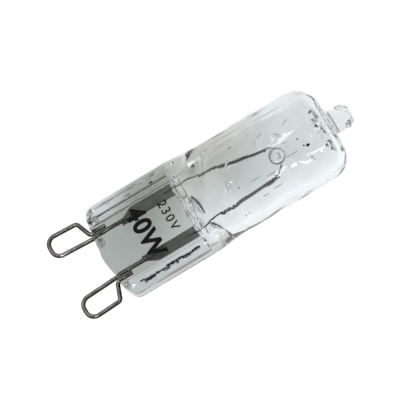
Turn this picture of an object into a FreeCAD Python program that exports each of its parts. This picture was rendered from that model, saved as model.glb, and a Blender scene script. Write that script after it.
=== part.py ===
import FreeCAD
import Part
import math
import os

Vector = FreeCAD.Vector

# Halogen capsule bulb with two looped pins, lying with its flat seal level.
# Frame: origin at the middle of the seal's pin end, +X along the bulb to its tip,
# +Y from pin to pin, +Z out of the seal's upper flat face. Millimetres.

# Contact pins
pin_spacing = 9.0
pin_wire = 0.6
loop_width = 2.9
loop_length = 6.2
loop_corner = 1.2
loop_splay_deg = 3.0
neck_length = 1.3
neck_bend = 0.45
exit_bend = 2.0
tail_gap = 0.05
tail_depth = 1.9

# Press seal
seal_length = 12.6
seal_margin = 2.2
seal_thickness = 4.4
seal_corner = 1.0
rib_width = 1.9
web_sink = 0.7
web_corner = 1.2
end_lobe = 0.55
side_lobe = 0.1
end_corner_setback = 1.0
dip_round = 0.6
end_edge_round = 0.35

# Sealing foils
foil_start = 3.9
foil_cover = 0.7
foil_width = 1.8
foil_thickness = 0.03
foil_cut_along = 2.0
foil_cut_across = 1.1
pin_lap = 1.5
lead_lap = 1.3

# Bulb
shoulder_length = 5.5
bulb_length = 16.1
bulb_diameter = 13.0
bulb_wall = 1.5
end_wall = 1.1
end_corner = 3.0
end_crown_radius = 22.0

# Hollow where the tube closes on the seal
hollow_setback = 0.3
hollow_side_wall = 1.8
hollow_slit = 1.0
hollow_slit_corner = 0.45
hollow_lag = 0.3

# Support dimple, pressed into the bulb's upper face until its nub passes the filament.
# It leans from upright towards the right-hand pin and points at the bulb's axis.
dimple_from_end = 8.65
dimple_lean_deg = 17.0
dimple_mouth = 1.2
dimple_flare = 0.7
dimple_tip = 0.5
dimple_wall = 0.35
dimple_past = 0.5

# Exhaust tip
tip_length = 2.8
tip_neck_diameter = 3.3
tip_head_diameter = 3.45
tip_neck_length = 0.5
tip_edge = 1.1
tip_root = 0.8

# Filament: feet are placed from the hollow's foot, heads from the dimple, and both from the axis across.
# The bend over the dimple has its corners, along and across, in shares of its reach from the dimple's middle.
coil_wire = 0.2
coil_diameter = 0.55
coil_pitch = 0.34
lead_wire = 0.2
lead_bend = 0.6
bead_diameter = 0.25
left_coil_foot = 3.0
left_coil_foot_across = 3.3
left_coil_head_across = 1.65
right_coil_foot = 3.0
right_coil_foot_across = 2.95
right_coil_head_across = 2.3
coil_head_setback = 0.75
bridge_gap = 0.4
bridge_bend = 0.5
bridge_corners = ((0.1, 1.45), (1.2, -0.25), (0.05, -1.55))

# Sizes that follow from those above
wire_radius = pin_wire / 2
lead_radius = lead_wire / 2
inner_leg = pin_spacing / 2 - loop_width / 2
outer_leg = pin_spacing / 2 + loop_width / 2
tail_leg = inner_leg + pin_wire + tail_gap
pin_dip = (inner_leg + tail_leg) / 2
seal_width = pin_spacing + 2 * seal_margin
web_thickness = seal_thickness - 2 * web_sink
foil_end = seal_length - foil_cover
foil_middle = inner_leg + wire_radius
foil_level = -(wire_radius + foil_thickness / 2)
bulb_radius = bulb_diameter / 2
tube_start = seal_length + shoulder_length
bulb_end = tube_start + bulb_length
hollow_start = seal_length + hollow_setback
hollow_tube_start = tube_start + hollow_lag
hollow_slit_width = seal_width - 2 * hollow_side_wall
dimple_place = bulb_end - dimple_from_end
nub_radius = dimple_tip / 2 + dimple_wall
filament_level = foil_level + foil_thickness / 2 + lead_radius
nub_level = filament_level - dimple_past
coil_radius = (coil_diameter - coil_wire) / 2
coil_head = dimple_place - coil_head_setback


def smoothstep(t):
    """Eased step from 0 to 1."""
    return t * t * (3 - 2 * t)


def arc_through(a, b, c):
    return Part.Arc(a, b, c).toShape()


def flat_section(width, thickness, corner):
    """Rounded rectangle in Y and Z: eight stretches, corner and side in turn, as start, middle and end."""
    y = width / 2 - corner
    z = thickness / 2 - corner
    stretches = []
    for turn, (centre_y, centre_z) in enumerate([(y, z), (-y, z), (-y, -z), (y, -z)]):
        angles = [math.radians(90 * turn + a) for a in (0, 45, 90)]
        arc = [(centre_y + corner * math.cos(a), centre_z + corner * math.sin(a)) for a in angles]
        stretches.append(arc)
    joined = []
    for turn, arc in enumerate(stretches):
        start = arc[-1]
        end = stretches[(turn + 1) % 4][0]
        joined += [arc, [start, ((start[0] + end[0]) / 2, (start[1] + end[1]) / 2), end]]
    return joined


def round_section(radius, flat):
    """Circle cut into eight stretches, each with the share of the girth that it has on the flat section."""
    lengths = []
    for index, (start, middle, end) in enumerate(flat):
        chord = math.dist(start, end)
        lengths.append(chord * math.pi / (2 * math.sqrt(2)) if index % 2 == 0 else chord)
    scale = 2 * math.pi / sum(lengths)
    angle = -lengths[-1] * scale / 2
    section = []
    for length in lengths:
        places = [angle, angle + length * scale / 2, angle + length * scale]
        section.append([(radius * math.cos(a), radius * math.sin(a)) for a in places])
        angle = places[-1]
    return section


def section_wire(x, section, exact_lines=False):
    """Closed wire of a section at x: arcs, with straight lines on the flat stretches if asked."""
    edges = []
    for index, stretch in enumerate(section):
        a, b, c = (Vector(x, y, z) for y, z in stretch)
        straight = exact_lines and index % 2 == 1
        edges.append(Part.LineSegment(a, c).toShape() if straight else arc_through(a, b, c))
    return Part.Wire(edges)


def squeezed_tube(x_flat, x_round, width, thickness, corner, radius):
    """Solid that passes from a flattened section to a round one, as a tube does when it is pressed."""
    flat = flat_section(width, thickness, corner)
    round_one = round_section(radius, flat)
    wires = []
    steps = 5
    for step in range(steps):
        t = step / (steps - 1)
        share = smoothstep(t)
        blended = [
            [
                (p[0] + (q[0] - p[0]) * share, p[1] + (q[1] - p[1]) * share)
                for p, q in zip(flat_stretch, round_stretch)
            ]
            for flat_stretch, round_stretch in zip(flat, round_one)
        ]
        wires.append(section_wire(x_flat + (x_round - x_flat) * t, blended, exact_lines=step == 0))
    return Part.makeLoft(wires, True, False)


def domed_rod(x_start, x_apex, radius, corner, crown):
    """Round rod along X whose far end is a shallow crown with a rounded rim."""
    crown_centre = x_apex - crown
    corner_r = radius - corner
    corner_x = crown_centre + math.sqrt((crown - corner) ** 2 - corner_r ** 2)
    rim_angle = math.atan2(corner_r, corner_x - crown_centre)
    rim = Vector(crown_centre + crown * math.cos(rim_angle), crown * math.sin(rim_angle), 0)
    half_angle = (math.pi / 2 + rim_angle) / 2
    corner_out = Vector(math.cos(half_angle), math.sin(half_angle), 0)
    corner_middle = Vector(corner_x, corner_r, 0) + corner_out * corner
    crown_middle = Vector(crown_centre + crown * math.cos(rim_angle / 2), crown * math.sin(rim_angle / 2), 0)
    rim_start = Vector(corner_x, radius, 0)
    apex = Vector(x_apex, 0, 0)
    foot = Vector(x_start, 0, 0)
    top = Vector(x_start, radius, 0)
    edges = [
        Part.LineSegment(foot, top).toShape(),
        Part.LineSegment(top, rim_start).toShape(),
        arc_through(rim_start, corner_middle, rim),
        arc_through(rim, crown_middle, apex),
        Part.LineSegment(apex, foot).toShape(),
    ]
    return Part.Face(Part.Wire(edges)).revolve(Vector(0, 0, 0), Vector(1, 0, 0), 360)


def press_seal():
    """Flat seal: rounded bar, three-lobed pin end, and a sunk web between the side ribs on both faces."""
    half = seal_width / 2
    flat = flat_section(seal_width, seal_thickness, seal_corner)
    bar_end = Part.Face(section_wire(-end_lobe, flat, exact_lines=True))
    bar = bar_end.extrude(Vector(seal_length + end_lobe, 0, 0))
    left_corner = Vector(end_corner_setback, half, 0)
    left_dip = Vector(0, pin_dip, 0)
    right_dip = Vector(0, -pin_dip, 0)
    right_corner = Vector(end_corner_setback, -half, 0)
    lobe_middle = (pin_dip + half) / 2
    plan = Part.Wire([
        arc_through(left_corner, Vector(-side_lobe, lobe_middle, 0), left_dip),
        arc_through(left_dip, Vector(-end_lobe, 0, 0), right_dip),
        arc_through(right_dip, Vector(-side_lobe, -lobe_middle, 0), right_corner),
        Part.LineSegment(right_corner, Vector(seal_length, -half, 0)).toShape(),
        Part.LineSegment(Vector(seal_length, -half, 0), Vector(seal_length, half, 0)).toShape(),
        Part.LineSegment(Vector(seal_length, half, 0), left_corner).toShape(),
    ])
    lobed = Part.Face(plan).extrude(Vector(0, 0, seal_thickness))
    lobed.translate(Vector(0, 0, -seal_thickness / 2))
    middle = seal_length / 2
    dips = [e for e in lobed.Edges if e.BoundBox.Center.isEqual(left_dip, pin_wire)]
    dips += [e for e in lobed.Edges if e.BoundBox.Center.isEqual(right_dip, pin_wire)]
    seal = bar.common(lobed.makeFillet(dip_round, dips))
    end_rim = [e for e in seal.Edges if e.BoundBox.ZLength < seal_thickness / 2 and e.BoundBox.XMax < middle]
    seal = seal.makeFillet(end_edge_round, end_rim)
    web_width = seal_width - 2 * rib_width
    for side in (1, -1):
        reach = seal_length + web_width
        block = Part.makeBox(reach, web_width, 2 * web_sink, Vector(seal_length - reach, -web_width / 2, 0))
        upright = [e for e in block.Edges if e.BoundBox.ZLength > web_sink and e.BoundBox.XMin > 0]
        block = block.makeFillet(web_corner, upright)
        block.translate(Vector(0, 0, web_thickness / 2 if side > 0 else -web_thickness / 2 - 2 * web_sink))
        seal = seal.cut(block)
    return seal


def dimple(tip_radius, mouth_radius, tip_level):
    """Rounded cone that points from the bulb's upper face to the axis, at its lean."""
    top = bulb_radius + dimple_flare
    slope = math.atan2(mouth_radius - tip_radius, bulb_radius - tip_level)
    half_angle = (math.pi / 2 + slope) / 2
    centre = Vector(dimple_place, 0, tip_level + tip_radius)
    foot = Vector(dimple_place, 0, tip_level)
    round_middle = centre + Vector(math.cos(half_angle), 0, -math.sin(half_angle)) * tip_radius
    round_start = centre + Vector(math.cos(slope), 0, -math.sin(slope)) * tip_radius
    rim = Vector(dimple_place + tip_radius + (top - tip_level) * math.tan(slope), 0, top)
    middle = Vector(dimple_place, 0, top)
    profile = Part.Wire([
        arc_through(foot, round_middle, round_start),
        Part.LineSegment(round_start, rim).toShape(),
        Part.LineSegment(rim, middle).toShape(),
        Part.LineSegment(middle, foot).toShape(),
    ])
    cone = Part.Face(profile).revolve(foot, Vector(0, 0, 1), 360)
    cone.rotate(Vector(0, 0, 0), Vector(1, 0, 0), dimple_lean_deg)
    return cone


def is_dimple_rim(edge):
    """True for an edge that runs round the dimple, where it meets the bulb's wall outside or inside."""
    upright = FreeCAD.Rotation(Vector(1, 0, 0), -dimple_lean_deg)
    centre = upright.multVec(edge.CenterOfMass)
    off_centre = math.hypot(centre.x - dimple_place, centre.y)
    return off_centre < dimple_wall / 4 and centre.z > bulb_radius / 2


def exhaust_tip():
    """Knob left where the filling tube was melted off: a neck, a bulge and a rounded end."""
    neck = tip_neck_diameter / 2
    head = tip_head_diameter / 2
    root = bulb_end - tip_root
    bulge_start = bulb_end + tip_neck_length
    end = bulb_end + tip_length
    foot = Vector(root, 0, 0)
    neck_foot = Vector(root, neck, 0)
    neck_end = Vector(bulge_start, neck, 0)
    bulge = Vector((bulge_start + end) / 2, head, 0)
    rim = Vector(end, neck, 0)
    crown = Vector(end, 0, 0)
    profile = Part.Wire([
        Part.LineSegment(foot, neck_foot).toShape(),
        Part.LineSegment(neck_foot, neck_end).toShape(),
        arc_through(neck_end, bulge, rim),
        Part.LineSegment(rim, crown).toShape(),
        Part.LineSegment(crown, foot).toShape(),
    ])
    knob = Part.Face(profile).revolve(Vector(0, 0, 0), Vector(1, 0, 0), 360)
    end_rim = [e for e in knob.Edges if e.BoundBox.XMin > end - tip_edge and e.BoundBox.YLength > neck]
    return knob.makeFillet(tip_edge, end_rim)


def envelope_body():
    """Seal, bulb, dimple and tip as one piece of quartz round a closed hollow."""
    inner_radius = bulb_radius - bulb_wall
    outside = press_seal().fuse([
        squeezed_tube(seal_length, tube_start, seal_width, seal_thickness, seal_corner, bulb_radius),
        domed_rod(tube_start, bulb_end, bulb_radius, end_corner, end_crown_radius),
        exhaust_tip(),
    ])
    hollow = squeezed_tube(
        hollow_start, hollow_tube_start, hollow_slit_width, hollow_slit, hollow_slit_corner, inner_radius
    ).fuse(
        domed_rod(hollow_tube_start, bulb_end - end_wall, inner_radius, end_corner - bulb_wall,
                  end_crown_radius - end_wall)
    )
    nub = dimple(nub_radius, dimple_mouth / 2 + dimple_wall, nub_level)
    pit = dimple(dimple_tip / 2, dimple_mouth / 2, nub_level + dimple_wall)
    body = outside.cut(hollow.cut(nub)).cut(pit)
    rims = [e for e in body.Edges if is_dimple_rim(e)]
    return body.makeFillet(dimple_flare, rims)


def bent_path(points, radii):
    """Wire through points with each inner corner rounded to its radius."""
    edges = []
    last = points[0]
    for before, corner, after, radius in zip(points, points[1:], points[2:], radii):
        to_back = (before - corner).normalize()
        to_front = (after - corner).normalize()
        half = to_back.getAngle(to_front) / 2
        set_back = radius / math.tan(half)
        bisector = (to_back + to_front).normalize()
        start = corner + to_back * set_back
        end = corner + to_front * set_back
        middle = corner + bisector * (radius / math.sin(half) - radius)
        edges += [Part.LineSegment(last, start).toShape(), arc_through(start, middle, end)]
        last = end
    edges.append(Part.LineSegment(last, points[-1]).toShape())
    return Part.Wire(edges)


def round_wire(path, radius):
    """Round wire swept along a path."""
    start = path.OrderedEdges[0]
    first = start.FirstParameter
    section = Part.Wire(Part.Circle(start.valueAt(first), start.tangentAt(first), radius).toShape())
    return path.makePipeShell([section], True, False, 0)


def contact_pin():
    """Left pin: out of the seal, round the loop, and back into the seal onto the foil."""
    splay = math.tan(math.radians(loop_splay_deg))
    far = loop_length - wire_radius
    points = [
        Vector(tail_depth, tail_leg, 0),
        Vector(-neck_bend, tail_leg, 0),
        Vector(-neck_length, outer_leg + splay * neck_length, 0),
        Vector(-far, outer_leg + splay * far, 0),
        Vector(-far, inner_leg + splay * far, 0),
        Vector(0, inner_leg, 0),
        Vector(foil_start + pin_lap, inner_leg, 0),
    ]
    bends = [neck_bend, neck_bend, loop_corner, loop_corner, exit_bend]
    return round_wire(bent_path(points, bends), wire_radius)


def sealing_foil():
    """Left foil: thin strip with its outer pin-side corner cut off."""
    inner = foil_middle - foil_width / 2
    outer = foil_middle + foil_width / 2
    corners = [
        (foil_start, inner),
        (foil_end, inner),
        (foil_end, outer),
        (foil_start + foil_cut_along, outer),
        (foil_start, outer - foil_cut_across),
    ]
    level = foil_level - foil_thickness / 2
    outline = Part.makePolygon([Vector(x, y, level) for x, y in corners + corners[:1]])
    return Part.Face(outline).extrude(Vector(0, 0, foil_thickness))


def filament_point(x, y):
    return Vector(x, y, filament_level)


def coil_leg(foot, head):
    """Coiled wire from foot to head, and the points where its two ends lie."""
    along = head - foot
    turns = round(along.Length / coil_pitch)
    helix = Part.Wire(Part.makeLongHelix(along.Length / turns, along.Length, coil_radius, 0).Edges)
    section = Part.Wire(Part.Circle(Vector(coil_radius, 0, 0), Vector(0, 1, 0), coil_wire / 2).toShape())
    coil = helix.makePipeShell([section], True, True)
    turn = FreeCAD.Rotation(Vector(0, 0, 1), along).multiply(FreeCAD.Rotation(Vector(0, 0, 1), 90))
    coil.Placement = FreeCAD.Placement(foot, turn)
    offset = turn.multVec(Vector(coil_radius, 0, 0))
    return coil, foot + offset, head + offset


def filament_body():
    """One wire: tail, coiled leg, bend over the dimple, coiled leg, tail. Small beads join the stretches."""
    left_coil, left_foot, left_head = coil_leg(
        filament_point(hollow_start + left_coil_foot, left_coil_foot_across),
        filament_point(coil_head, left_coil_head_across),
    )
    right_coil, right_foot, right_head = coil_leg(
        filament_point(hollow_start + right_coil_foot, -right_coil_foot_across),
        filament_point(coil_head, -right_coil_head_across),
    )
    reach = nub_radius + bridge_gap + lead_radius
    left_tail = bent_path([
        filament_point(foil_end - lead_lap, foil_middle),
        filament_point(hollow_start, foil_middle),
        left_foot,
    ], [lead_bend])
    right_tail = bent_path([
        filament_point(foil_end - lead_lap, -foil_middle),
        filament_point(hollow_start, -foil_middle),
        right_foot,
    ], [lead_bend])
    corners = [filament_point(dimple_place + reach * x, reach * y) for x, y in bridge_corners]
    bridge = bent_path([left_head, *corners, right_head], [bridge_bend] * len(corners))
    pieces = [left_coil, right_coil]
    pieces += [round_wire(path, lead_radius) for path in (left_tail, right_tail, bridge)]
    coil_ends = (left_foot, left_head, right_foot, right_head)
    pieces += [Part.makeSphere(bead_diameter / 2, end) for end in coil_ends]
    return pieces[0].fuse(pieces[1:])


def mirrored(shape):
    """The same piece on the other side of the bulb's upright middle plane."""
    return shape.mirror(Vector(0, 0, 0), Vector(0, 1, 0))


pin_left = contact_pin()
pin_right = mirrored(pin_left)
foil_left = sealing_foil()
foil_right = mirrored(foil_left)
filament = filament_body()
envelope = envelope_body().cut([pin_left, pin_right, foil_left, foil_right, filament])

os.makedirs("parts", exist_ok=True)
envelope.exportStep("parts/quartz_envelope.step")
filament.exportStep("parts/filament.step")
foil_left.exportStep("parts/foil_left.step")
foil_right.exportStep("parts/foil_right.step")
pin_left.exportStep("parts/pin_left.step")
pin_right.exportStep("parts/pin_right.step")
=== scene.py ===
import math

import bmesh
import bpy
import numpy as np
from mathutils import Matrix, Vector


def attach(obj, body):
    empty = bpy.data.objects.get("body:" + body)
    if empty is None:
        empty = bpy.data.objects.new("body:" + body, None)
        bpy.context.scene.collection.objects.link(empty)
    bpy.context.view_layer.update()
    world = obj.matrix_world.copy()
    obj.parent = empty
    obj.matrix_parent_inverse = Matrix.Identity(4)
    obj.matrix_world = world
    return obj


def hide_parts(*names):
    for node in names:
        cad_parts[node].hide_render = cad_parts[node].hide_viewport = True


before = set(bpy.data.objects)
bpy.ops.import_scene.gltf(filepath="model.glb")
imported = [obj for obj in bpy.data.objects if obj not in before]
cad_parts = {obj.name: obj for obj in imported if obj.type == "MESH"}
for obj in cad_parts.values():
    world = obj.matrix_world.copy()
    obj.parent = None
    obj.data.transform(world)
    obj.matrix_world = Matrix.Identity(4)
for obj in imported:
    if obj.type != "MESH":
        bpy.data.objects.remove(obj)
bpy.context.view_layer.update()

mm = 0.001  # lengths below are in millimetres, meshes in metres

# Lying bulb: X runs from the pins to the tip, Y from pin to pin, Z up out of the seal's flat face.
seal = {
    "length": 12.6,
    "halfWidth": 6.7,
    "halfThickness": 2.2,
    "corner": 1.0,
    "ribWidth": 1.9,
    "ribOverlap": 0.2,   # how far the web's slope starts under the rib
    "ribSlope": 0.45,
    "webSink": 0.7,
    "pinDip": 3.375,     # where the pins leave, between the end's lobes
    "middleLobe": 0.55,
    "sideLobe": 0.1,
    "cornerSetback": 1.0,
    "endRound": 0.5,
    "stepSetback": 0.25, # of the press step from the seal's bulb end
    "stepSlope": 0.3,
    "stepWaves": [(0.12, 1.9, 0.6), (0.06, 4.3, 0.0)],   # depth, radians per millimetre across, shift
}
bulb = {
    "shoulder": 5.5,
    "radius": 6.5,
    "wall": 1.5,
    "end": 34.2,
    "endWall": 1.1,
    "endCorner": 3.0,
    "crown": 22.0,
}
hollow = {
    "start": 12.9,
    "tubeStart": 18.4,
    "halfSlit": 0.5,
    "halfSlitWidth": 4.7,
    "slitCorner": 0.45,
}
dimple = {
    "place": 25.55,
    "mouth": 0.6,        # radius of the pit at the bulb's upper face
    "tip": 0.25,         # radius of the pit's round bottom
    "wall": 0.35,
    "level": -0.7,       # of the nub's end inside
    "lean": 17.0,        # degrees from upright, towards the right-hand pin
    "flare": 5.0,        # how far up and down the rims are rounded
}
tip = {
    "neck": 1.65,
    "head": 1.725,
    "neckLength": 0.5,
    "length": 2.8,
    "edge": 1.1,
    "fillet": 0.25,
    "sink": 0.02,        # of the fillet's foot into the crown
    "bulgeTurn": 0.75,   # share of the half sine that the bulge follows
}
quartzMesh = {           # how finely the envelope is divided: rings of each part, spacing along the tube
    "columns": 200,
    "crowding": 4.0,     # how many more columns there are at the dimple
    "shareSteps": 4001,  # over which they are summed
    "capCrowding": 0.7,
    "zone": 1.8,         # reach of the finer rings beside the dimple
    "sliver": 1e-5,      # keeps the smallest outline open
    "outer": {"crowdWidth": 0.03, "cap": 16, "seal": 76, "blend": 62, "corner": 16, "crown": 14,
              "spacing": 0.3, "fineSpacing": 0.065},
    "inner": {"crowdWidth": 0.04, "cap": 7, "blend": 64, "corner": 14, "crown": 30,
              "spacing": 0.35, "fineSpacing": 0.08},
    "tip": {"fillet": 6, "bulge": 14, "rim": 8, "flat": 5},
}
webHalf = seal["halfWidth"] - seal["ribWidth"]


def smoothStep(t):
    # eased step: three t squared less two t cubed, held to 0..1
    t = np.clip(t, 0.0, 1.0)
    return t * t * (3 - 2 * t)


def window(value, low, high, edge):
    # 1 between low and high, eased to 0 over the edge outside them
    return smoothStep((value - low) / edge + 1) * smoothStep((high - value) / edge + 1)


def roundedRectangle(halfY, halfZ, corner, share):
    # point at a share of the outline's length, from the middle of the +Y side over the top:
    # a quarter is half a side, a quarter circle and half a face, and the other quarters mirror it
    side = halfZ - corner
    arc = corner * np.pi / 2
    face = halfY - corner
    quarter = side + arc + face
    s = share * 4
    turn = np.floor(s).astype(int) % 4
    t = (s - np.floor(s)) * quarter
    t = np.where(turn % 2 == 1, quarter - t, t)
    angle = np.clip((t - side) / corner, 0, np.pi / 2)
    onSide = t < side
    onFace = t > side + arc
    y = np.where(onSide, halfY, np.where(onFace, face - (t - side - arc), face + corner * np.cos(angle)))
    z = np.where(onSide, t, np.where(onFace, halfZ, side + corner * np.sin(angle)))
    return y * np.where((turn == 1) | (turn == 2), -1, 1), z * np.where(turn >= 2, -1, 1)


def crowdedShares(width):
    # shares round the outline, closer together at the dimple: a bell-shaped density, summed up,
    # and the places where the sum reaches even steps
    count = quartzMesh["columns"]
    fine = np.linspace(0, 1, quartzMesh["shareSteps"])
    top = 0.25 + dimple["lean"] / 360
    density = 1 + quartzMesh["crowding"] * np.exp(-((fine - top) / width) ** 2)
    total = np.concatenate([[0], np.cumsum((density[1:] + density[:-1]) / 2)])
    return np.interp(np.arange(count) / count, total / total[-1], fine)


def pinEndLine(y):
    # outline of the pin end: a middle lobe and two side lobes that fall back at the corners
    a = np.abs(y)
    middle = -seal["middleLobe"] * (1 - (a / seal["pinDip"]) ** 2)
    out = (a - seal["pinDip"]) / (seal["halfWidth"] - seal["pinDip"])
    back = seal["cornerSetback"]
    side = -4 * (seal["sideLobe"] + back / 4) * out * (1 - out) + back * out * out * (2 - out)
    return np.where(a < seal["pinDip"], middle, side)


def pressStep(y):
    # place along the seal where the press stopped: a straight line across with two sines on it
    line = seal["length"] - seal["stepSetback"]
    return line + sum(depth * np.sin(turn * y + shift) for depth, turn, shift in seal["stepWaves"])


def dimpled(x, y, z, wall):
    # height above the axis along the dimple's lean, pressed down to a rounded cone: a ball at the tip,
    # then a straight side up to the mouth; a smooth lesser of the two heights rounds the rim
    lean = math.radians(dimple["lean"])
    y, z = y * math.cos(lean) + z * math.sin(lean), z * math.cos(lean) - y * math.sin(lean)
    tipRadius = dimple["tip"] + wall
    tipLevel = dimple["level"] + dimple["wall"] - wall
    taper = math.atan2(dimple["mouth"] - dimple["tip"], bulb["radius"] - tipLevel)
    rho = np.hypot(x - dimple["place"], y)
    rim = tipRadius * math.cos(taper)    # where the ball passes into the side
    ball = tipLevel + tipRadius - np.sqrt(np.maximum(tipRadius ** 2 - rho ** 2, 0))
    side = tipLevel + tipRadius * (1 - math.sin(taper)) + (rho - rim) / math.tan(taper)
    cone = np.where(rho < rim, ball, side)
    share = np.clip(0.5 + 0.5 * (z - cone) / dimple["flare"], 0, 1)
    pressed = z + (cone - z) * share - dimple["flare"] * share * (1 - share)
    z = np.where(z > 0, pressed, z)
    return y * math.cos(lean) - z * math.sin(lean), z * math.cos(lean) + y * math.sin(lean)


def pushAlongNormals(grid, amount):
    # moves each point along its surface normal, the cross product of the grid's two slopes,
    # outward for a positive amount
    smallest = 1e-7
    down = np.gradient(grid, axis=0)
    around = np.roll(grid, -1, axis=1) - np.roll(grid, 1, axis=1)
    normal = np.cross(around, down)
    size = np.linalg.norm(normal, axis=-1, keepdims=True)
    normal = np.where(size > smallest, normal / np.maximum(size, smallest), 0)
    outward = np.sign(np.sum(normal[..., 1:] * grid[..., 1:]))
    return grid + outward * normal * amount[..., None]


def capInset(reach, rings):
    # how far each ring of an end face lies inside its rim: the reach times 1 less a power of even steps
    return reach * (1 - np.linspace(0, 1, rings) ** quartzMesh["capCrowding"])


def roundedCap(line, inset, lip):
    # end face with a quarter circle round its rim, set back from the given line
    short = np.clip(lip - inset[:, None], 0, lip)
    return line + lip - np.sqrt(lip ** 2 - short ** 2)


def blendedSections(section, inset, flatRings, blendSteps, radii, share):
    # section of each ring: a rounded rectangle, inset on the end face, that an eased step
    # turns into a circle
    halfY, halfZ, corner = section
    sliver = quartzMesh["sliver"]
    d = np.concatenate([inset, np.zeros(flatRings + len(blendSteps) + len(radii))])[:, None]
    yFlat, zFlat = roundedRectangle(halfY - d, halfZ - d + sliver, np.maximum(corner - d, sliver), share)
    flat = np.zeros(len(inset) + flatRings)
    blend = np.concatenate([flat, smoothStep(blendSteps), np.ones(len(radii))])[:, None]
    radius = np.concatenate([np.full(len(flat) + len(blendSteps), radii[0]), radii])[:, None]
    angle = 2 * np.pi * share
    y = yFlat * (1 - blend) + radius * np.cos(angle) * blend
    z = zFlat * (1 - blend) + radius * np.sin(angle) * blend
    return y, z, blend


def domeProfile(apex, radius, corner, crown, stopRadius, fine):
    # round rod's end: a corner arc that runs into a shallow crown, from the rim to the stop radius
    crownCentre = apex - crown
    cornerRadius = radius - corner
    cornerX = crownCentre + math.sqrt((crown - corner) ** 2 - cornerRadius ** 2)
    rimAngle = math.atan2(cornerRadius, cornerX - crownCentre)
    a = np.linspace(np.pi / 2, rimAngle, fine["corner"])
    b = np.linspace(rimAngle, math.asin(stopRadius / crown), fine["crown"])[1:]
    x = np.concatenate([cornerX + corner * np.cos(a), crownCentre + crown * np.cos(b)])
    r = np.concatenate([cornerRadius + corner * np.sin(a), crown * np.sin(b)])
    return x, r


def tubeStations(xFrom, xTo, fine):
    # places along the tube, closer together at the dimple
    zone = quartzMesh["zone"]
    spacing = fine["spacing"]
    near = dimple["place"] - zone
    far = dimple["place"] + zone
    return np.concatenate([
        np.linspace(xFrom, near, max(2, round((near - xFrom) / spacing)))[1:],
        np.linspace(near, far, round(2 * zone / fine["fineSpacing"]))[1:],
        np.linspace(far, xTo, max(2, round((xTo - far) / spacing)))[1:],
    ])


def tipProfile():
    # melted-off knob: fillet out of the crown, neck, bulge as part of a half sine, rounded rim
    # and flat middle
    fine = quartzMesh["tip"]
    root = bulb["end"]
    bend = np.linspace(0, np.pi / 2, fine["fillet"])[1:]
    filletX = root + tip["fillet"] * (1 - np.cos(bend)) - tip["sink"]
    filletR = tip["neck"] + tip["fillet"] * (1 - np.sin(bend))
    t = np.linspace(0, 1, fine["bulge"])[1:]
    end = root + tip["length"]
    bulgeX = root + tip["neckLength"] + (end - tip["edge"] - root - tip["neckLength"]) * t
    bulgeR = tip["neck"] + (tip["head"] - tip["neck"]) * np.sin(np.pi * t * tip["bulgeTurn"])
    a = np.linspace(0, np.pi / 2, fine["rim"])[1:]
    rimX = end - tip["edge"] + tip["edge"] * np.sin(a)
    rimR = bulgeR[-1] - tip["edge"] * (1 - np.cos(a))
    flatR = rimR[-1] * np.linspace(1, 0, fine["flat"])[1:]
    flatX = np.full(len(flatR), end)
    return np.concatenate([filletX, bulgeX, rimX, flatX]), np.concatenate([filletR, bulgeR, rimR, flatR])


def outerQuartz():
    # rings from the pin end to the tip: the end face, the seal, the shoulder's blend, the tube and
    # the tip's profile; then the web is sunk between the ribs and the dimple is pressed in
    fine = quartzMesh["outer"]
    share = crowdedShares(fine["crowdWidth"])[None, :]
    sealEnd = seal["length"]
    inset = capInset(seal["halfThickness"], fine["cap"])
    along = np.linspace(0, 1, fine["seal"])[1:]
    blendSteps = np.linspace(0, 1, fine["blend"])[1:]
    domeX, domeR = domeProfile(bulb["end"], bulb["radius"], bulb["endCorner"], bulb["crown"],
                               tip["neck"] + tip["fillet"], fine)
    tubeX = tubeStations(sealEnd + bulb["shoulder"], domeX[0], fine)
    tipX, tipR = tipProfile()
    roundX = np.concatenate([tubeX, domeX[1:], tipX])
    roundR = np.concatenate([np.full(len(tubeX), bulb["radius"]), domeR[1:], tipR])
    section = (seal["halfWidth"], seal["halfThickness"], seal["corner"])
    y, z, blend = blendedSections(section, inset, len(along), blendSteps, roundR, share)

    capX = roundedCap(pinEndLine(y[:len(inset)]), inset, seal["endRound"])
    startX = capX[-1:]
    sealX = startX + (sealEnd - startX) * along[:, None]
    shoulderX = sealEnd + bulb["shoulder"] * blendSteps[:, None] + 0 * share
    x = np.concatenate([capX, sealX, shoulderX, roundX[:, None] + 0 * share])

    step = pressStep(y)
    betweenRibs = smoothStep((webHalf + seal["ribOverlap"] - np.abs(y)) / seal["ribSlope"])
    web = betweenRibs * smoothStep((step - x) / seal["stepSlope"] + 0.5)
    z = z * (1 - web * seal["webSink"] / seal["halfThickness"])
    y, z = np.where(blend == 1, dimpled(x, y, z, 0.0), (y, z))
    return pushAlongNormals(np.stack([x, y, z], axis=-1), outerRipple(x, y, z, step))


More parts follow.
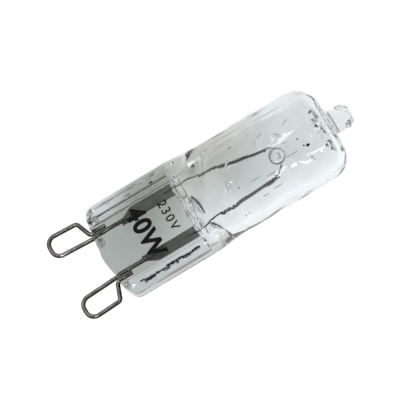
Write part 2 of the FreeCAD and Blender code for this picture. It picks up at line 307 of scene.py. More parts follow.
def innerQuartz():
    # the closed hollow: a slit that opens into a round tube with a domed end,
    # and the nub that the dimple makes in it
    fine = quartzMesh["inner"]
    share = crowdedShares(fine["crowdWidth"])[None, :]
    radius = bulb["radius"] - bulb["wall"]
    inset = capInset(hollow["halfSlit"], fine["cap"])
    blendSteps = np.linspace(0, 1, fine["blend"])[1:]
    domeX, domeR = domeProfile(bulb["end"] - bulb["endWall"], radius, bulb["endCorner"] - bulb["wall"],
                               bulb["crown"] - bulb["endWall"], 0.0, fine)
    tubeX = tubeStations(hollow["tubeStart"], domeX[0], fine)
    roundX = np.concatenate([tubeX, domeX[1:]])
    roundR = np.concatenate([np.full(len(tubeX), radius), domeR[1:]])
    section = (hollow["halfSlitWidth"], hollow["halfSlit"], hollow["slitCorner"])
    y, z, blend = blendedSections(section, inset, 0, blendSteps, roundR, share)

    capX = roundedCap(hollow["start"] + 0 * share, inset, hollow["slitCorner"])
    startX = hollow["start"] + hollow["slitCorner"]
    openX = startX + (hollow["tubeStart"] - startX) * blendSteps[:, None] + 0 * share
    x = np.concatenate([capX, openX, roundX[:, None] + 0 * share])
    y, z = np.where(blend == 1, dimpled(x, y, z, dimple["wall"]), (y, z))
    return pushAlongNormals(np.stack([x, y, z], axis=-1), innerRipple(x, y, z))


ripple = {
    "wall": 0.05,        # slow waves all over
    "wallChop": 0.4,     # share of shorter waves on them
    "wallRun": (15, 33, 3),      # runs: from, to, fading
    "seal": 0.03,
    "sealRun": (2, 11.5, 1),
    "ribShare": 0.3,     # of the seal's waves that the ribs have
    "ribEdge": 0.5,
    "ribFade": 0.6,
    "bead": 0.42,        # roll of quartz where the press stopped
    "beadPast": 0.3,
    "beadReach": 0.6,
    "beadFade": 0.8,
    "pinEnd": 0.1,       # torn pin end, on the left-hand side
    "pinEndRun": (1.2, 7, 1.5),
    "pinEndDepth": 0.9,
    "pinEndFade": 0.8,
    "tip": 0.12,
    "tipStart": 0.6,
    "tipFade": 0.8,
    "throat": 0.04,      # folds where the hollow closes
    "throatRun": (13.4, 14.8, 1.0),
    "hollow": 0.05,
    "hollowRun": (17, 31, 1.5),
    "farLump": 1.6,      # melted lumps inside the domed end
    "farStart": 32.0,
    "farSlope": 0.5,
    "farReach": 3.4,
    "farFade": 0.8,
    "sines": 7,          # in each set of waves
    "waves": {           # seed and wavelength
        "wall": (11, 5.5),
        "wallChop": (16, 2.2),
        "seal": (12, 2.2),
        "bead": (13, 1.8),
        "pinEnd": (14, 0.75),
        "tip": (15, 1.1),
        "throat": (21, 2.8),
        "hollow": (22, 4.2),
        "farLump": (23, 1.4),
    },
    "pocks": [           # dents in the upper face: place and reach, each along and across, turn, depth
        (13.75, -0.8, 0.3, 1.1, 8, 0.4),
        (14.75, -5.3, 0.3, 0.9, 30, 0.4),
        (18.3, -1.9, 0.5, 0.5, 0, 0.1),
        (19.4, -2.4, 0.4, 0.4, 0, 0.08),
        (24.0, 1.1, 0.35, 0.45, 0, 0.08),
        (27.6, 0.6, 0.5, 0.5, 0, 0.1),
        (26.0, 0.85, 0.3, 0.35, 0, 0.06),
        (26.8, 0.1, 0.25, 0.4, 20, 0.06),
        (27.0, -2.9, 0.3, 0.45, 25, 0.06),
        (28.6, -3.6, 0.4, 0.7, 35, 0.08),
        (26.2, -5.4, 0.5, 0.35, 0, 0.08),
        (23.2, -4.6, 0.7, 0.3, 10, 0.06),
    ],
    "folds": [           # pressed down into the hollow's roof where it closes, in the same terms
        (13.7, -0.6, 0.28, 1.2, 8, 0.42),
        (14.6, -4.0, 0.28, 0.8, 30, 0.4),
    ],
}


def waves(x, y, z, name):
    # sum of sines of one wavelength that run in scattered directions, pressed to within -1 and 1
    seed, length = ripple["waves"][name]
    count = ripple["sines"]
    draw = np.random.default_rng(seed)
    total = 0
    for _ in range(count):
        way = draw.normal(size=3)
        way *= 2 * np.pi / length / np.linalg.norm(way)
        total = total + np.sin(way[0] * x + way[1] * y + way[2] * z + draw.uniform(0, 2 * np.pi))
    return np.tanh(total / math.sqrt(count))


def dents(x, y, z, places):
    # depth in the upper face that falls off as a bell, drawn out along a turned line
    total = 0 * x
    for middleX, middleY, reachAlong, reachAcross, turnDeg, depth in places:
        turn = math.radians(turnDeg)
        along = (x - middleX) * math.cos(turn) + (y - middleY) * math.sin(turn)
        across = (y - middleY) * math.cos(turn) - (x - middleX) * math.sin(turn)
        bell = np.exp(-(along / reachAlong) ** 2 - (across / reachAcross) ** 2)
        total = total + np.where(z > 0, depth * bell, 0)
    return total


def sealRipple(x, y, z):
    # shallow waves on the pressed faces, inward, and calmer on the ribs
    betweenRibs = smoothStep((webHalf - ripple["ribEdge"] - np.abs(y)) / ripple["ribFade"])
    strength = ripple["ribShare"] + (1 - ripple["ribShare"]) * betweenRibs
    return ripple["seal"] * strength * window(x, *ripple["sealRun"]) * (waves(x, y, z, "seal") - 1)


def outerRipple(x, y, z, step):
    # slow waves pushed inward, a lumpy bead along the press step, fine roughness on the pin end and
    # the tip, and pocks in the upper face
    chop = ripple["wallChop"]
    rolling = waves(x, y, z, "wall") + chop * waves(x, y, z, "wallChop") - (1 + chop)
    slow = ripple["wall"] * window(x, *ripple["wallRun"]) * rolling
    lumps = 0.5 + 0.5 * waves(x, y, z, "bead")
    roll = np.exp(-((x - step - ripple["beadPast"]) / ripple["beadReach"]) ** 2)
    bead = ripple["bead"] * roll * lumps * smoothStep((webHalf - np.abs(y)) / ripple["beadFade"])
    atEnd = smoothStep((ripple["pinEndDepth"] - x) / ripple["pinEndFade"])
    torn = ripple["pinEnd"] * window(y, *ripple["pinEndRun"]) * atEnd * (waves(x, y, z, "pinEnd") - 1)
    onTip = smoothStep((x - bulb["end"] - ripple["tipStart"]) / ripple["tipFade"])
    knob = ripple["tip"] * onTip * (waves(x, y, z, "tip") - 1)
    return slow + sealRipple(x, y, z) + bead + torn + knob - dents(x, y, z, ripple["pocks"])


def innerRipple(x, y, z):
    # folds at the throat, slow waves along the wall and lumps that stand into the hollow at the domed end
    throat = ripple["throat"] * window(x, *ripple["throatRun"]) * waves(x, y, z, "throat")
    slow = ripple["hollow"] * window(x, *ripple["hollowRun"]) * waves(x, y, z, "hollow")
    lumps = 0.5 + 0.5 * waves(x, y, z, "farLump")
    atEnd = smoothStep((x - ripple["farStart"]) / ripple["farSlope"])
    inMiddle = smoothStep((ripple["farReach"] - np.hypot(y, z)) / ripple["farFade"])
    return throat + slow - ripple["farLump"] * atEnd * inMiddle * lumps - dents(x, y, z, ripple["folds"])


bubbles = {              # darkness: how dark a pocket's colour is painted, from 0 to 1
    "seed": 5,
    "rows": 9,
    "columns": 8,
    "wallRadius": 5.7,   # middle of the round wall
    "clear": 0.01,       # darkness of a clear pocket
    "ribChain": {        # drawn-out bubbles along the right-hand rib
        "count": 15, "run": (2.4, 10.6), "y": -5.6, "z": 1.0, "sway": (0.25, 0.15, 0.25),
        "length": (0.25, 0.9), "radius": (0.12, 0.26), "darkness": 1.0,
    },
    "ribSpecks": {       # finer ones along the left-hand rib
        "count": 10, "x": (1.8, 11.2), "y": (5.0, 6.1), "z": (0.4, 1.4),
        "length": (0.1, 0.6), "radius": (0.04, 0.08), "darkness": 0.8,
    },
    "wallLines": {       # air lines in the round wall
        "count": 9, "angle": (0.3, 2.8), "x": (17.5, 30),
        "length": (0.15, 1.0), "radius": (0.04, 0.09), "darkness": 0.35,
    },
    "speckDarkness": 1.0,
    "specks": [          # in the upper wall: place along, degrees from upright, half length, radius
        (28.9, 12, 0.15, 0.1),
        (29.7, 25, 0.3, 0.2),
        (29.2, 23, 0.15, 0.12),
        (29.4, 41, 0.12, 0.14),
        (29.6, 45, 0.1, 0.1),
        (19.3, 27, 0.12, 0.1),
        (18.3, 67, 0.12, 0.1),
        (18.9, 66, 0.15, 0.06),
        (20.9, -25, 0.35, 0.06),
        (21.3, -50, 2.4, 0.04),
        (27.0, -44, 2.2, 0.04),
    ],
    "curls": [           # clear ones: place along, degrees from upright, half length, turn
        (24.0, -12, 0.45, 50),
        (24.9, -17, 0.5, 20),
        (26.9, -6, 0.55, -50),
        (27.3, 8, 0.45, -20),
        (28.6, -15, 0.6, 25),
        (19.6, -8, 0.5, 30),
        (18.1, 18, 0.7, 75),
        (18.5, 20, 0.5, 60),
    ],
    "curlSize": (0.13, 0.1),     # half width and half height
    "lenses": [          # flat ones at the shoulder: centre, half length, width and height, turn
        ((13.8, -0.73, 1.45), 1.6, 0.6, 0.3, -80),
        ((14.5, -4.45, 1.35), 1.0, 0.42, 0.25, -62),
    ],
    "lensFineness": 2,
    "lensDarkness": {"rim": 0.15, "reach": 1.3, "fall": 2.2, "shift": 0.2},
    "crumbs": [          # clear ones at the torn pin end: middle along and across, spreads, how many
        (1.15, 5.3, 0.3, 0.7, 18),
        (0.4, 1.75, 0.25, 0.55, 20),
        (0.8, -4.9, 0.25, 0.4, 8),
    ],
    "crumbLevel": (0.4, 1.1),
    "crumbRadius": (0.08, 0.2),
    "crumbStretch": (1, 1.8),
}


def bubbleGrid(centre, halfLength, halfWidth, halfHeight, turnDeg=0, fineness=1):
    # ellipsoid: cosine along, sine of the same angle times a circle across, turned about the upright
    turn = math.radians(turnDeg)
    columns = bubbles["columns"] * fineness
    down = np.linspace(0, np.pi, bubbles["rows"] * fineness)[:, None]
    around = 2 * np.pi * np.arange(columns)[None, :] / columns
    along = -halfLength * np.cos(down) + 0 * around
    across = halfWidth * np.sin(down) * np.cos(around)
    x = centre[0] + along * math.cos(turn) - across * math.sin(turn)
    y = centre[1] + along * math.sin(turn) + across * math.cos(turn)
    z = centre[2] + halfHeight * np.sin(down) * np.sin(around)
    return np.stack([x, y, z], axis=-1)


def inWall(x, angle):
    # point in the middle of the round wall, at an angle from the left-hand side over the top
    return x, bubbles["wallRadius"] * math.cos(angle), bubbles["wallRadius"] * math.sin(angle)


def lensDarkness(columns):
    # dark along the middle of a lens and paler to its rim: an eased step of the distance
    # from its shifted middle
    tone = bubbles["lensDarkness"]
    around = np.linspace(0, 2 * np.pi, columns, endpoint=False)
    dark = smoothStep(tone["reach"] - tone["fall"] * np.abs(np.cos(around) - tone["shift"]))
    return tone["rim"] + (1 - tone["rim"]) * dark


def bubbleGrids():
    # ellipsoids of air with how dark each is painted, drawn at random along the ribs, in the wall and at
    # the pin end, or placed as listed
    draw = np.random.default_rng(bubbles["seed"])
    grids = []
    chain = bubbles["ribChain"]
    for x in np.linspace(*chain["run"], chain["count"]):
        sway = [draw.uniform(-most, most) for most in chain["sway"]]
        centre = (x + sway[0], chain["y"] + sway[1], chain["z"] + sway[2])
        length, radius = draw.uniform(*chain["length"]), draw.uniform(*chain["radius"])
        grids.append((bubbleGrid(centre, length, radius, radius), chain["darkness"]))
    specks = bubbles["ribSpecks"]
    for _ in range(specks["count"]):
        centre = [draw.uniform(*specks[axis]) for axis in "xyz"]
        length, radius = draw.uniform(*specks["length"]), draw.uniform(*specks["radius"])
        grids.append((bubbleGrid(centre, length, radius, radius), specks["darkness"]))
    lines = bubbles["wallLines"]
    for _ in range(lines["count"]):
        angle = draw.uniform(*lines["angle"])
        centre = inWall(draw.uniform(*lines["x"]), angle)
        length, radius = draw.uniform(*lines["length"]), draw.uniform(*lines["radius"])
        grids.append((bubbleGrid(centre, length, radius, radius), lines["darkness"]))
    for x, fromUpright, halfLength, radius in bubbles["specks"]:
        centre = inWall(x, math.radians(90 + fromUpright))
        grids.append((bubbleGrid(centre, halfLength, radius, radius), bubbles["speckDarkness"]))
    for x, fromUpright, halfLength, turnDeg in bubbles["curls"]:
        centre = inWall(x, math.radians(90 + fromUpright))
        grids.append((bubbleGrid(centre, halfLength, *bubbles["curlSize"], turnDeg), bubbles["clear"]))
    for lens in bubbles["lenses"]:
        grid = bubbleGrid(*lens, bubbles["lensFineness"])
        grids.append((grid, lensDarkness(grid.shape[1])))
    for x, y, spreadX, spreadY, count in bubbles["crumbs"]:
        for _ in range(count):
            across = (x + spreadX * draw.uniform(-1, 1), y + spreadY * draw.uniform(-1, 1))
            centre = (*across, draw.uniform(*bubbles["crumbLevel"]))
            radius = draw.uniform(*bubbles["crumbRadius"])
            length = radius * draw.uniform(*bubbles["crumbStretch"])
            grids.append((bubbleGrid(centre, length, radius, radius), bubbles["clear"]))
    return grids


weldReach = 2e-8     # metres
thinnest = 1e-9


def ringFaces(rows, columns, offset, inward):
    # quads between neighbouring rings, closed round the last column
    i, j = np.meshgrid(np.arange(rows - 1), np.arange(columns), indexing="ij")
    k = (j + 1) % columns
    here, ahead = i * columns, (i + 1) * columns
    quads = np.stack([here + j, here + k, ahead + k, ahead + j], axis=-1).reshape(-1, 4) + offset
    return quads[:, ::-1] if inward else quads


def buildPiece(name, surfaces, material, node, darkPockets=()):
    # joins grids into one mesh, welds poles and seams, and hands the piece to the frame; the pockets'
    # grids face inward, and an attribute holds how dark they are painted
    points, faces, darkness, offset = [], [], [], 0
    skins = [(grid, inward, 0) for grid, inward in surfaces]
    pockets = [(grid, True, dark) for grid, dark in darkPockets]
    for grid, inward, dark in skins + pockets:
        rows, columns = grid.shape[:2]
        points.append(grid.reshape(-1, 3) * mm)
        faces.append(ringFaces(rows, columns, offset, inward))
        darkness.append(np.broadcast_to(np.asarray(dark, float), (rows, columns)).ravel())
        offset += rows * columns
    mesh = bpy.data.meshes.new(name)
    mesh.from_pydata(np.concatenate(points).tolist(), [], np.concatenate(faces).tolist())
    if darkPockets:
        mesh.attributes.new("darkness", "FLOAT", "POINT").data.foreach_set("value", np.concatenate(darkness))
    weld = bmesh.new()
    weld.from_mesh(mesh)
    bmesh.ops.remove_doubles(weld, verts=weld.verts, dist=weldReach)
    bmesh.ops.dissolve_degenerate(weld, edges=weld.edges, dist=thinnest)
    weld.to_mesh(mesh)
    weld.free()
    mesh.polygons.foreach_set("use_smooth", np.ones(len(mesh.polygons), dtype=bool))
    mesh.materials.append(material)
    piece = bpy.data.objects.new(name, mesh)
    bpy.context.scene.collection.objects.link(piece)
    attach(piece, "root")
    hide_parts(node)
    print(name, len(mesh.vertices), "vertices", len(mesh.polygons), "faces")
    return piece


def newMaterial(name):
    material = bpy.data.materials.new(name)
    material.use_nodes = True
    shader = material.node_tree.nodes["Principled BSDF"]
    return material, material.node_tree, shader


def addNode(tree, kind, inputs=None, **settings):
    # a shader node with its settings; each input takes a link or a fixed value
    made = tree.nodes.new("ShaderNode" + kind)
    for name, value in settings.items():
        setattr(made, name, value)
    for socket, value in (inputs or {}).items():
        if isinstance(value, bpy.types.NodeSocket):
            tree.links.new(value, made.inputs[socket])
        else:
            made.inputs[socket].default_value = value
    return made


def calculate(tree, operation, *values):
    return addNode(tree, "Math", dict(enumerate(values)), operation=operation).outputs[0]


def mapRange(tree, value, span, to=(0.0, 1.0), eased=False):
    # carries a value from one range to another, straight or eased
    ends = {"Value": value, "From Min": span[0], "From Max": span[1], "To Min": to[0], "To Max": to[1]}
    style = "SMOOTHSTEP" if eased else "LINEAR"
    return addNode(tree, "MapRange", ends, interpolation_type=style).outputs["Result"]


def inMetres(span):
    return [end * mm for end in span]


def ramp(tree, value, colours, positions=(0.0, 1.0)):
    # colour between two, by a value
    made = addNode(tree, "ValToRGB", {"Fac": value})
    for stop, colour, position in zip(made.color_ramp.elements, colours, positions):
        stop.color = (*colour, 1)
        stop.position = position
    return made.outputs["Color"]


def mixColours(tree, factor, first, second, blend="MIX"):
    colours = {"Factor": factor, "A": first, "B": second}
    return addNode(tree, "Mix", colours, data_type="RGBA", blend_type=blend).outputs["Result"]


def objectPlace(tree):
    # object coordinates, whole and along and across
    place = addNode(tree, "TexCoord").outputs["Object"]
    split = addNode(tree, "SeparateXYZ", {"Vector": place})
    return place, split.outputs["X"], split.outputs["Y"]


def noise(tree, place, scale, detail=2.0):
    return addNode(tree, "TexNoise", {"Vector": place, "Scale": scale, "Detail": detail}).outputs["Fac"]


glass = {
    "bending": 1.458,                # refractive index
    "shadedSealToWall": ((0.735, 0.747, 0.737), (0.955, 0.963, 0.96)),     # seal darkened by painted shade, thin wall's faint grey
    "tintChange": (11.8, 13.2),
    "webEdge": (5.15, 4.85),         # across, from the rib to the web's painted shade
    "webEnd": (12.4, 12.1),          # along, from the bulb to the web
    "webRun": (4.5, 11.5),
    "webShades": ((0.64, 0.635, 0.615), (0.9, 0.9, 0.885)),      # painted shade on the web: pin end, bulb end
    "cloudScale": 260,
    "cloudDetail": 3,
    "cloudTints": ((0.95, 0.95, 0.95), (1, 1, 1)),
    "cloudSpread": (0.38, 0.62),
    "clearPocket": (1, 1, 1),
    "blackPocket": (0.02, 0.021, 0.02),
    "leastDarkness": 0.005,              # less is the glass's own skin
}


def quartzMaterial():
    # clear glass: its tint passes from the seal's painted shade to the wall's faint grey, is multiplied
    # by the web's painted shade and by faint clouds, and gives way to a pocket's own tone where the
    # pockets' attribute says that there is one
    material, tree, shader = newMaterial("clearQuartz")
    place, x, y = objectPlace(tree)
    # painted shade: the seal, and more its web, are darker than the round wall; this share runs from the
    # seal to the wall
    thickness = mapRange(tree, x, inMetres(glass["tintChange"]), eased=True)
    across = calculate(tree, "ABSOLUTE", y)
    onWeb = mapRange(tree, across, inMetres(glass["webEdge"]), eased=True)
    onSeal = mapRange(tree, x, inMetres(glass["webEnd"]))
    alongWeb = mapRange(tree, x, inMetres(glass["webRun"]))
    pressed = calculate(tree, "MULTIPLY", onWeb, onSeal)
    tint = ramp(tree, thickness, glass["shadedSealToWall"])
    tint = mixColours(tree, pressed, tint, ramp(tree, alongWeb, glass["webShades"]), "MULTIPLY")
    clouds = ramp(tree, noise(tree, place, glass["cloudScale"], glass["cloudDetail"]),
                  glass["cloudTints"], glass["cloudSpread"])
    tint = mixColours(tree, 1.0, tint, clouds, "MULTIPLY")
    darkness = addNode(tree, "Attribute", attribute_name="darkness").outputs["Fac"]
    pocket = mixColours(tree, darkness, (*glass["clearPocket"], 1), (*glass["blackPocket"], 1))
    isPocket = calculate(tree, "GREATER_THAN", darkness, glass["leastDarkness"])
    tree.links.new(mixColours(tree, isPocket, tint, pocket), shader.inputs["Base Color"])
    shader.inputs["Roughness"].default_value = 0.0
    shader.inputs["IOR"].default_value = glass["bending"]
    shader.inputs["Transmission Weight"].default_value = 1.0
    return material


metals = {               # two tones, and a flank's tone: painted shade on the wire's sides, with the tones kept as a painted highlight where it faces up and down
    "pinWire": {"tones": ((0.3, 0.282, 0.255), (0.7, 0.67, 0.62)), "shadedFlank": (0.038, 0.035, 0.03),
                "roughness": 0.14, "scale": 900},
    "tungstenWire": {"tones": ((0.06, 0.06, 0.06), (0.15, 0.15, 0.147)), "roughness": 0.4, "scale": 2500},
    "foilStrip": {"tones": ((0.24, 0.255, 0.245), (0.37, 0.385, 0.375)), "roughness": 0.38, "scale": 500},
}
toneSpread = (0.35, 0.65)    # of the metals' clouds
sheenFrom = 0.83            # level of the normal's upright part at which a wire's painted highlight starts


def metalMaterial(name):
    # cloudy tone between two greys on object coordinates; where there is a flank tone, the wire's sides
    # get painted shade and only what faces up or down keeps the greys, as a painted highlight
    metal = metals[name]
    material, tree, shader = newMaterial(name)
    place, _, _ = objectPlace(tree)
    tone = ramp(tree, noise(tree, place, metal["scale"]), metal["tones"], toneSpread)
    if "shadedFlank" in metal:
        paintedSheen = addNode(tree, "Attribute", attribute_name="paintedSheen").outputs["Fac"]
        level = mapRange(tree, paintedSheen, (sheenFrom, 1.0), eased=True)
        tone = mixColours(tree, level, (*metal["shadedFlank"], 1), tone)
    tree.links.new(tone, shader.inputs["Base Color"])
    shader.inputs["Metallic"].default_value = 1.0
    shader.inputs["Roughness"].default_value = metal["roughness"]
    return material


pins = {
    "spacing": 9.0,
    "wire": 0.3,         # radius
    "loopWidth": 2.9,
    "loopLength": 6.2,
    "loopCorner": 1.2,
    "splayDeg": 3.0,
    "neckLength": 1.3,
    "neckBend": 0.45,
    "exitBend": 2.0,
    "tailGap": 0.05,
    "tailDepth": 1.9,
    "leadEnd": 5.4,
    "sides": 20,
    "step": 0.12,        # between rings
}


pathLimits = {"arcPoints": 4, "points": 8, "nearest": 1e-6}  # fewest points, least distance of two


def bentPath(corners, radii, spacing):
    # straight runs and tangent arcs through flat corners, as closely spaced points
    corners = np.array(corners, float)
    points = [corners[:1]]
    for before, corner, after, radius in zip(corners, corners[1:], corners[2:], radii):
        back = (before - corner) / np.linalg.norm(before - corner)
        ahead = (after - corner) / np.linalg.norm(after - corner)
        half = math.acos(np.clip(np.dot(back, ahead), -1, 1)) / 2
        bisector = (back + ahead) / np.linalg.norm(back + ahead)
        centre = corner + bisector * radius / math.sin(half)
        sweep = np.pi / 2 - half
        side = np.sign(back[0] * ahead[1] - back[1] * ahead[0])
        count = max(pathLimits["arcPoints"], round(2 * sweep * radius / spacing))
        turns = np.linspace(-sweep, sweep, count) * -side
        start = -bisector
        arc = np.stack([
            start[0] * np.cos(turns) - start[1] * np.sin(turns),
            start[0] * np.sin(turns) + start[1] * np.cos(turns),
        ], axis=-1)
        points.append(centre + radius * arc)
    points.append(corners[-1:])
    line = np.concatenate(points)
    lengths = np.concatenate([[0], np.cumsum(np.linalg.norm(np.diff(line, axis=0), axis=1))])
    keep = np.concatenate([[True], np.diff(lengths) > pathLimits["nearest"]])
    line, lengths = line[keep], lengths[keep]
    even = np.linspace(0, lengths[-1], max(pathLimits["points"], round(lengths[-1] / spacing)))
    return np.stack([np.interp(even, lengths, line[:, axis]) for axis in (0, 1)], axis=-1)


def sweptRings(centre, across, up, radius, sides):
    # rings round a path, with a zero ring at both ends that closes them
    angle = -2 * np.pi * np.arange(sides) / sides
    size = np.concatenate([[0], np.full(len(centre), radius), [0]])
    up = np.broadcast_to(up, centre.shape)
    centre, across, up = (np.concatenate([row[:1], row, row[-1:]]) for row in (centre, across, up))
    cosine, sine = np.cos(angle)[None, :, None], np.sin(angle)[None, :, None]
    circle = across[:, None, :] * cosine + up[:, None, :] * sine
    return centre[:, None, :] + circle * size[:, None, None]


def flatWire(path, level, radius, sides):
    # round wire along a flat path: each ring is the path's side and up directions turned through a circle
    tangent = np.gradient(path, axis=0)
    tangent /= np.linalg.norm(tangent, axis=1)[:, None]
    across = np.stack([-tangent[:, 1], tangent[:, 0], np.zeros(len(path))], axis=-1)
    up = np.array([0.0, 0.0, 1.0])
    centre = np.concatenate([path, np.full((len(path), 1), level)], axis=1)
    return sweptRings(centre, across, up, radius, sides)


def pinSurface(side):
    # round wire along a bent line: tail in the glass, neck, splayed loop and lead to the foil,
    # with Y turned over for the right-hand pin
    inner = pins["spacing"] / 2 - pins["loopWidth"] / 2
    outer = pins["spacing"] / 2 + pins["loopWidth"] / 2
    tail = inner + 2 * pins["wire"] + pins["tailGap"]
    splay = math.tan(math.radians(pins["splayDeg"]))
    far = pins["loopLength"] - pins["wire"]
    corners = [
        (pins["tailDepth"], tail),
        (-pins["neckBend"], tail),
        (-pins["neckLength"], outer + splay * pins["neckLength"]),
        (-far, outer + splay * far),
        (-far, inner + splay * far),
        (0, inner),
        (pins["leadEnd"], inner),
    ]
    bends = [pins["neckBend"], pins["neckBend"], pins["loopCorner"], pins["loopCorner"], pins["exitBend"]]
    path = bentPath(corners, bends, pins["step"]) * np.array([1, side])
    return flatWire(path, 0.0, pins["wire"], pins["sides"])


def addPaintedSheen(mesh):
    # attribute for the wire's painted highlight and painted shade: the upright part of each normal, 1
    # where it faces up or down
    normals = np.empty(len(mesh.vertices) * 3)
    mesh.vertices.foreach_get("normal", normals)
    mesh.attributes.new("paintedSheen", "FLOAT", "POINT").data.foreach_set("value", np.abs(normals[2::3]))


filament = {
    "wire": 0.1,         # radius of the coiled wire
    "coilRadius": 0.175, # to the wire's middle
    "pitch": 0.34,
    "lead": 0.1,
    "level": -0.2,
    "foilEnd": 11.9,
    "foilLap": 1.3,
    "foilMiddle": 3.35,
    "leadBend": 0.6,
    "bridgeBend": 0.5,
    "reach": 1.1,        # of the bend over the dimple, from its middle
    "bridge": [(0.1, 1.45), (1.2, -0.25), (0.05, -1.55)],    # its corners, as shares of the reach
    "leftFoot": (15.9, 3.3),
    "leftHead": (24.8, 1.65),
    "rightFoot": (15.9, -2.95),
    "rightHead": (24.8, -2.3),
    "coilSteps": 18,     # rings in each turn
    "coilSides": 8,
    "leadSides": 12,
    "tailStep": 0.08,
    "bridgeStep": 0.06,
}


def coilSurface(foot, head):
    # helix about the line from foot to head, swept by a small circle on its radial and cross directions
    foot = np.array([*foot, filament["level"]])
    head = np.array([*head, filament["level"]])
    radius = filament["coilRadius"]
    length = np.linalg.norm(head - foot)
    along = (head - foot) / length
    sideways = np.array([-along[1], along[0], 0.0])
    up = np.array([0.0, 0.0, 1.0])
    turns = round(length / filament["pitch"])
    t = np.linspace(0, 1, turns * filament["coilSteps"] + 1)
    turn = 2 * np.pi * turns * t
    radial = sideways * np.cos(turn)[:, None] + up * np.sin(turn)[:, None]
    centre = foot + along * (length * t)[:, None] + radial * radius
    circling = -sideways * np.sin(turn)[:, None] + up * np.cos(turn)[:, None]
    tangent = circling * radius * 2 * np.pi * turns + along * length
    tangent /= np.linalg.norm(tangent, axis=1)[:, None]
    cross = np.cross(tangent, radial)
    ends = (foot + sideways * radius, head + sideways * radius)
    return sweptRings(centre, radial, -cross, filament["wire"], filament["coilSides"]), ends


def filamentSurfaces():
    # two coiled legs, a bent tail from each foil to a leg's foot, and the bent bridge over the dimple
    left, (leftFoot, leftHead) = coilSurface(filament["leftFoot"], filament["leftHead"])
    right, (rightFoot, rightHead) = coilSurface(filament["rightFoot"], filament["rightHead"])
    onFoil = filament["foilEnd"] - filament["foilLap"]
    paths = []
    for foot, middle in ((leftFoot, filament["foilMiddle"]), (rightFoot, -filament["foilMiddle"])):
        corners = [(onFoil, middle), (hollow["start"], middle), foot[:2]]
        paths.append(bentPath(corners, [filament["leadBend"]], filament["tailStep"]))
    reach = filament["reach"]
    bends = [(dimple["place"] + reach * along, reach * across) for along, across in filament["bridge"]]
    corners = [leftHead[:2], *bends, rightHead[:2]]
    paths.append(bentPath(corners, [filament["bridgeBend"]] * len(bends), filament["bridgeStep"]))
    leads = [flatWire(path, filament["level"], filament["lead"], filament["leadSides"]) for path in paths]
    return [(grid, False) for grid in [left, right, *leads]]


figures = {
    "face": 1.5,
    "lift": 0.01,
    "thickness": 0.01,
    "curveSteps": 4,
    "lines": [
        {"text": "230V", "x": 9.15, "middle": 0.2, "size": 1.75, "spacing": 1.25, "bold": 0.02},
        {"text": "40W", "x": 4.9, "middle": -0.2, "size": 3.5, "spacing": 1.05, "bold": 0.12},
    ],
    "inkTones": ((0.004, 0.004, 0.004), (0.015, 0.015, 0.015)),
    "inkScale": 3000,
    "inkRoughness": 0.6,
    "inkShine": 0.1,
}


def inkMaterial():
    material, tree, shader = newMaterial("blackInk")
    place, _, _ = objectPlace(tree)
    tone = ramp(tree, noise(tree, place, figures["inkScale"]), figures["inkTones"])
    tree.links.new(tone, shader.inputs["Base Color"])
    shader.inputs["Roughness"].default_value = figures["inkRoughness"]
    shader.inputs["Specular IOR Level"].default_value = figures["inkShine"]
    return material


def printedFigures(material):
    # flat figures, made a mesh and laid on the seal's face: they read towards the right-hand pin,
    # with their tops to the bulb
    points, faces, offset = [], [], 0
    for line in figures["lines"]:
        curve = bpy.data.curves.new("figures", "FONT")
        curve.body = line["text"]
        curve.size = line["size"]
        curve.space_character = line["spacing"]
        curve.offset = line["bold"]
        curve.align_x = "CENTER"
        curve.resolution_u = figures["curveSteps"]
        writing = bpy.data.objects.new("figures", curve)
        bpy.context.scene.collection.objects.link(writing)
        filled = writing.evaluated_get(bpy.context.evaluated_depsgraph_get())
        flat = bpy.data.meshes.new_from_object(filled)
        place = np.empty(len(flat.vertices) * 3)
        flat.vertices.foreach_get("co", place)
        place = place.reshape(-1, 3)
        x = line["x"] + place[:, 1]
        y = line["middle"] - place[:, 0]
        z = figures["face"] + sealRipple(x, y, figures["face"] + 0 * x) + figures["lift"]
        points.append(np.stack([x, y, z], axis=-1) * mm)
        faces += [[index + offset for index in face.vertices] for face in flat.polygons]
        offset += len(place)
        bpy.data.objects.remove(writing)
    mesh = bpy.data.meshes.new("sealFigures")
    mesh.from_pydata(np.concatenate(points).tolist(), [], faces)
    mesh.materials.append(material)
    piece = bpy.data.objects.new("sealFigures", mesh)
    bpy.context.scene.collection.objects.link(piece)
    body = piece.modifiers.new("thickness", "SOLIDIFY")
    body.thickness = figures["thickness"] * mm
    body.offset = 1
    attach(piece, "root")
    print("sealFigures", len(mesh.vertices), "vertices")


skins = [(outerQuartz(), False), (innerQuartz(), True)]
buildPiece("quartzEnvelope", skins, quartzMaterial(), "quartz_envelope", bubbleGrids())
printedFigures(inkMaterial())
pinMetal = metalMaterial("pinWire")
for name, side, node in (("contactPinLeft", 1, "pin_left"), ("contactPinRight", -1, "pin_right")):
    pin = buildPiece(name, [(pinSurface(side), side < 0)], pinMetal, node)
    # painted highlight along each wire's top and bottom, painted shade on its sides
    addPaintedSheen(pin.data)
buildPiece("filamentWire", filamentSurfaces(), metalMaterial("tungstenWire"), "filament")
foilMetal = metalMaterial("foilStrip")
for node in ("foil_left", "foil_right"):
    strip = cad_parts[node]
    strip.data.materials.clear()
    strip.data.materials.append(foilMetal)
print("foils covered")

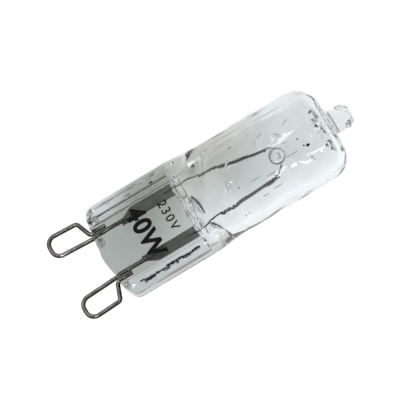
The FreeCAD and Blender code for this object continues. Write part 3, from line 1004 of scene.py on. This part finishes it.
studio = {
    "floorLevel": -6.5,
    "floorSize": 3000.0,
    "floorTone": (0.42, 0.42, 0.42),
    "floorGlow": 0.8,
    "shadeAcross": (-2.0, 7.5),      # painted shadow on the floor under the glass: where it is palest and greyest across
    "shadeAlong": (3, 7),            # where the shade starts and is full
    "shadeFade": (20, 29),           # where it fades, and how much is left
    "shadeLeft": 0.3,
    "shades": ((0.86, 0.93, 0.96), (0.34, 0.34, 0.3)),
    "skyStrength": (0.85, 0.6),      # right-hand side, left-hand side
    "cardAngles": (52, 34),          # grey card about the camera: its outer and inner edge
    "cardTones": ((1, 1, 1), (0.42, 0.42, 0.41)),
    "lampAim": (15, 0, 0),
    "lamps": [
        {"name": "key", "place": (60, -260, 160), "size": 40, "power": 0.12},
        {"name": "front", "place": (-65, -100, 265), "size": 50, "power": 0.1},
    ],
    "tilt": 17.0,        # camera's lean from overhead, towards the right-hand pin
    "rise": 30.8,        # bulb's axis above the picture's level
    "aim": (14.23, 0.2, 0.0),
    "distance": 300.0,
    "lens": 207.05,
    "sensor": 36,
    "clip": (0.01, 10),  # metres
}
tilt = math.radians(studio["tilt"])
towardsCamera = Vector((0, -math.sin(tilt), math.cos(tilt)))


def backgroundRays(tree, strength):
    # the strength where the camera, metal or glass looks at the background, 0 where it lights the bulb
    rays = addNode(tree, "LightPath").outputs
    seen = calculate(tree, "MAXIMUM", rays["Is Camera Ray"], rays["Is Glossy Ray"])
    seen = calculate(tree, "MAXIMUM", seen, rays["Is Transmission Ray"])
    return calculate(tree, "MULTIPLY", seen, strength)


def paintedShadowThroughGlass(tree):
    # the floor's colour: white, but for rays that come through glass a painted shadow grows across it,
    # from a pale blue-white to a soft grey
    rays = addNode(tree, "LightPath").outputs
    _, x, y = objectPlace(tree)
    across = mapRange(tree, y, inMetres(studio["shadeAcross"]))
    along = mapRange(tree, x, inMetres(studio["shadeAlong"]))
    fading = mapRange(tree, x, inMetres(studio["shadeFade"]), (1.0, studio["shadeLeft"]))
    shade = calculate(tree, "MULTIPLY", calculate(tree, "MULTIPLY", across, along), fading)
    shaded = ramp(tree, shade, studio["shades"])
    return mixColours(tree, rays["Is Transmission Ray"], (1, 1, 1, 1), shaded)


def addFloor():
    size = studio["floorSize"] / 2 * mm
    level = studio["floorLevel"] * mm
    corners = [(-size, -size, level), (size, -size, level), (size, size, level), (-size, size, level)]
    mesh = bpy.data.meshes.new("floor")
    mesh.from_pydata(corners, [], [(0, 1, 2, 3)])
    floor = bpy.data.objects.new("floor", mesh)
    bpy.context.scene.collection.objects.link(floor)
    material, tree, shader = newMaterial("paleFloor")
    shader.inputs["Base Color"].default_value = (*studio["floorTone"], 1)
    shader.inputs["Roughness"].default_value = 1.0
    shader.inputs["Specular IOR Level"].default_value = 0.0
    # the floor seen through the glass carries the painted shadow
    tree.links.new(paintedShadowThroughGlass(tree), shader.inputs["Emission Color"])
    tree.links.new(backgroundRays(tree, studio["floorGlow"]), shader.inputs["Emission Strength"])
    mesh.materials.append(material)


def addCamera():
    # looks along the tilted view line, rolled so that the bulb rises to the right
    rise = math.radians(studio["rise"])
    alongBulb = Vector((1, 0, 0))
    acrossBulb = towardsCamera.cross(alongBulb)
    right = alongBulb * math.cos(rise) - acrossBulb * math.sin(rise)
    up = alongBulb * math.sin(rise) + acrossBulb * math.cos(rise)
    data = bpy.data.cameras.new("camera")
    data.lens = studio["lens"]
    data.sensor_width = studio["sensor"]
    data.clip_start, data.clip_end = studio["clip"]
    camera = bpy.data.objects.new("camera", data)
    place = (Vector(studio["aim"]) + towardsCamera * studio["distance"]) * mm
    turn = Matrix((right, up, towardsCamera)).transposed().to_4x4()
    camera.matrix_world = Matrix.Translation(place) @ turn
    bpy.context.scene.collection.objects.link(camera)
    bpy.context.scene.camera = camera


def addLamp(name, place, size, power):
    data = bpy.data.lights.new(name, "AREA")
    data.shape = "DISK"
    data.size = size * mm
    data.energy = power
    lamp = bpy.data.objects.new(name, data)
    lamp.location = Vector(place) * mm
    lamp.rotation_mode = "QUATERNION"
    lamp.rotation_quaternion = (Vector(studio["lampAim"]) - Vector(place)).to_track_quat("-Z", "Y")
    bpy.context.scene.collection.objects.link(lamp)


def addWorld():
    # white all round, weaker to the left, with a soft-edged grey card about the camera
    world = bpy.data.worlds.new("studio")
    world.use_nodes = True
    tree = world.node_tree
    back = tree.nodes["Background"]
    place = addNode(tree, "TexCoord").outputs["Generated"]
    across = addNode(tree, "SeparateXYZ", {"Vector": place}).outputs["Y"]
    towards = addNode(tree, "VectorMath", {0: place, 1: towardsCamera}, operation="DOT_PRODUCT")
    edges = [math.cos(math.radians(angle)) for angle in studio["cardAngles"]]
    card = ramp(tree, towards.outputs["Value"], studio["cardTones"], edges)
    tree.links.new(mapRange(tree, across, (-1, 1), studio["skyStrength"]), back.inputs["Strength"])
    tree.links.new(card, back.inputs["Color"])
    bpy.context.scene.world = world


addFloor()
addCamera()
addWorld()
for lamp in studio["lamps"]:
    addLamp(**lamp)
bpy.context.scene.view_settings.view_transform = "Standard"
print("studio ready")
